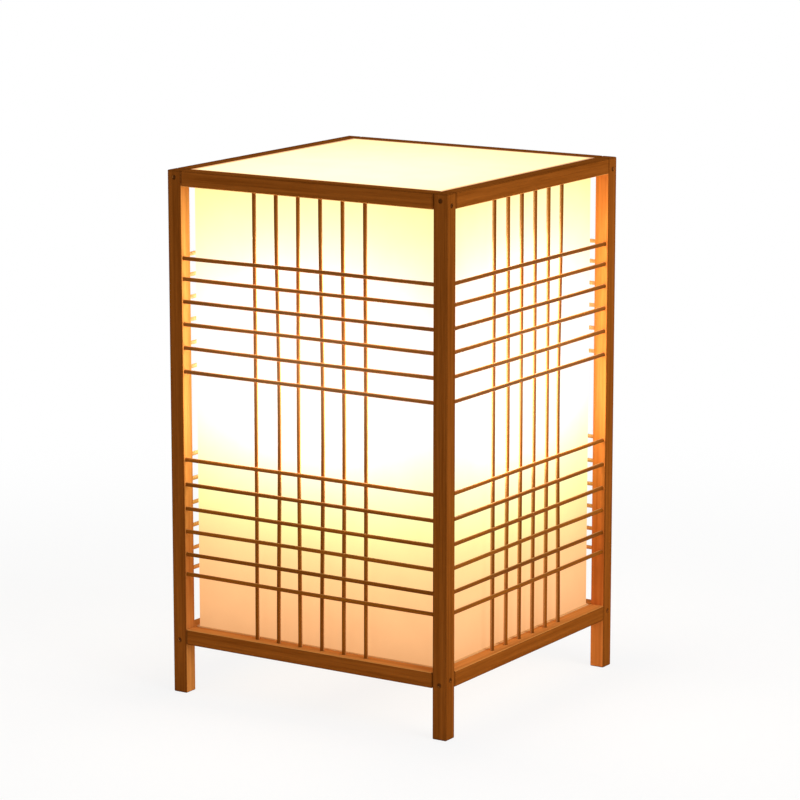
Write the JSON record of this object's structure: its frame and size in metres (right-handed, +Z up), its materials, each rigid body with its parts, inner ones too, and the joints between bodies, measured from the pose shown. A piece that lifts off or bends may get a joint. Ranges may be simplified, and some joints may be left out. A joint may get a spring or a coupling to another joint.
{
  "type": "bedside lamp",
  "caption": "Square wooden bedside lamp: slim post-and-rail frame, bamboo rod lattice on every side, glowing translucent inner shade, screw-in bulb on a crossbar.",
  "frame": {"origin": "on the floor, under the middle of the lamp", "axes": "+Z up; -Y is the front side, the left one of the two sides in the picture; +X is the right side"},
  "size_m": [0.152, 0.152, 0.2493],
  "materials": {
    "frame_wood": "planed, oiled warm brown",
    "batten_wood": "planed, raw",
    "bamboo_rod": "round bamboo, oiled",
    "brad_steel": "dark, sunk",
    "diffuser_sheet": "translucent parchment, lit from inside",
    "holder_plastic": "ivory moulded",
    "insert_ceramic": "glazed ceramic",
    "contact_brass": "bright",
    "zinc_steel": "zinc plated",
    "cap_nickel": "nickel plated",
    "cap_insulator": "black glassy",
    "bulb_plastic": "white moulded",
    "bulb_opal": "opal, lit from inside",
    "light_board": "white lacquer",
    "light_chip": "yellow phosphor",
    "driver_card": "green lacquer"
  },
  "bodies": {
    "lamp": {"bottom_joint_brads": "brad_steel", "bottom_rail_back": "frame_wood", "bottom_rail_front": "frame_wood", "bottom_rail_left": "frame_wood", "bottom_rail_right": "frame_wood", "crossbar": "frame_wood", "diffuser_back": "diffuser_sheet", "diffuser_front": "diffuser_sheet", "diffuser_left": "diffuser_sheet", "diffuser_right": "diffuser_sheet", "diffuser_top": "diffuser_sheet", "holder_base": "holder_plastic", "holder_centre_contact": "contact_brass", "holder_insert": "insert_ceramic", "holder_lower_nut": "contact_brass", "holder_nipple": "contact_brass", "holder_screw_shell": "contact_brass", "holder_shell": "holder_plastic", "holder_terminal_screws": "zinc_steel", "holder_upper_nut": "contact_brass", "holder_washer": "zinc_steel", "lattice_lower_crosspieces_back": "bamboo_rod", "lattice_lower_crosspieces_front": "bamboo_rod", "lattice_lower_crosspieces_left": "bamboo_rod", "lattice_lower_crosspieces_right": "bamboo_rod", "lattice_upper_crosspieces_back": "bamboo_rod", "lattice_upper_crosspieces_front": "bamboo_rod", "lattice_upper_crosspieces_left": "bamboo_rod", "lattice_upper_crosspieces_right": "bamboo_rod", "lattice_uprights_back": "bamboo_rod", "lattice_uprights_front": "bamboo_rod", "lattice_uprights_left": "bamboo_rod", "lattice_uprights_right": "bamboo_rod", "lower_batten_back": "batten_wood", "lower_batten_front": "batten_wood", "lower_batten_left": "batten_wood", "lower_batten_right": "batten_wood", "post_back_left": "frame_wood", "post_back_right": "frame_wood", "post_front_left": "frame_wood", "post_front_right": "frame_wood", "top_joint_brads": "brad_steel", "top_rail_back": "frame_wood", "top_rail_front": "frame_wood", "top_rail_left": "frame_wood", "top_rail_right": "frame_wood", "upper_batten_back": "batten_wood", "upper_batten_front": "batten_wood", "upper_batten_left": "batten_wood", "upper_batten_right": "batten_wood"},
    "bulb_foot": {"bulb_contact": "cap_nickel"},
    "bulb": {"bulb_cap": "cap_nickel", "bulb_driver_card": "driver_card", "bulb_globe": "bulb_opal", "bulb_housing": "bulb_plastic", "bulb_insulator": "cap_insulator", "bulb_light_board": "light_board", "bulb_light_chips": "light_chip"}
  },
  "joints": [
    {"name": "bulb_lift", "type": "slide", "parent": "lamp", "child": "bulb_foot", "axis": [0, 0, 1], "range_m": [0, 0.0182]},
    {"name": "bulb_turn", "type": "hinge", "parent": "bulb_foot", "child": "bulb", "pos_m": [0, 0, 0.055], "axis": [0, 0, 1], "range_deg": [0, 1800]}
  ],
  "couplings": [
    {"joint": "bulb_lift", "follows": "bulb_turn", "m_per_rad": 0.00057757}
  ]
}
